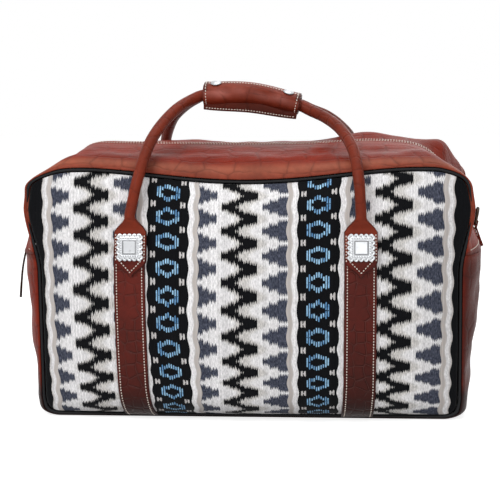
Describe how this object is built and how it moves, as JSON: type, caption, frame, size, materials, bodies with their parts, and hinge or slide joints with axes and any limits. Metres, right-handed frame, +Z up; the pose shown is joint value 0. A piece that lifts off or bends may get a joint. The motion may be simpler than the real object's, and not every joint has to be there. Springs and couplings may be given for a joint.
{
  "type": "overnight bag",
  "caption": "Soft overnight bag with woven zigzag panels, leather gusset and base, rolled handles held by a snapped wrap, a zip over the top and rings for a shoulder strap.",
  "frame": {"origin": "centre of the footprint, on the surface that the bag stands on", "axes": "+X along the bag to the viewer's right, -Y out of the front panel, +Z up"},
  "size_m": [0.5372, 0.2662, 0.3738],
  "materials": {
    "weave": "thick hand-woven wool in black, white, cream, slate grey and blue",
    "leather": "red-brown pull-up leather, satin, with lighter rubbed edges",
    "embossed_leather": "dark red-brown leather with large embossed scales",
    "piping": "black, matte",
    "zip": "aged brass teeth on brown tape",
    "dark_metal": "dark gunmetal plating, satin",
    "silver": "antiqued silver plating with dark recesses",
    "lining": "dark brown cotton",
    "board": "plain stiffener board"
  },
  "bodies": {
    "bag": {"front_panel": "weave", "back_panel": "weave", "top_gusset_front": "leather", "top_gusset_rear": "leather", "base_gusset": "leather", "front_piping": "piping", "back_piping": "piping", "zipper_front_half": "zip", "zipper_rear_half": "zip", "zipper_stop_left": "zip", "zipper_stop_right": "zip", "front_handle": "leather", "back_handle": "leather", "handle_wrap": "leather", "snap_cap_left": "silver", "snap_cap_right": "silver", "ring_tab_left": "leather", "ring_tab_right": "leather", "lining": "lining", "base_board": "board", "front_strap_left": "embossed_leather", "front_concho_left": "silver", "front_concho_screw_left": "silver", "front_strap_right": "embossed_leather", "front_concho_right": "silver", "front_concho_screw_right": "silver", "back_strap_left": "embossed_leather", "back_concho_left": "silver", "back_concho_screw_left": "silver", "back_strap_right": "embossed_leather", "back_concho_right": "silver", "back_concho_screw_right": "silver"},
    "slider": {"zipper_slider": "dark_metal"},
    "pull": {"zipper_pull": "dark_metal", "pull_lace": "leather"},
    "ring_left": {"d_ring_left": "dark_metal"},
    "ring_right": {"d_ring_right": "dark_metal"}
  },
  "joints": [
    {"name": "zip_run", "type": "slide", "parent": "bag", "child": "slider", "axis": [0.3746, 0, 0.9272], "range_m": [0, 0.014]},
    {"name": "pull_swing", "type": "hinge", "parent": "slider", "child": "pull", "pos_m": [-0.23952, 0, 0.24533], "axis": [0, 1, 0], "range_deg": [0, 140]},
    {"name": "left_ring_swing", "type": "hinge", "parent": "bag", "child": "ring_left", "pos_m": [-0.2573, 0, 0.20345], "axis": [0, -1, 0], "range_deg": [-33, 130]},
    {"name": "right_ring_swing", "type": "hinge", "parent": "bag", "child": "ring_right", "pos_m": [0.25318, 0, 0.21365], "axis": [0, 1, 0], "range_deg": [-33, 130]}
  ]
}
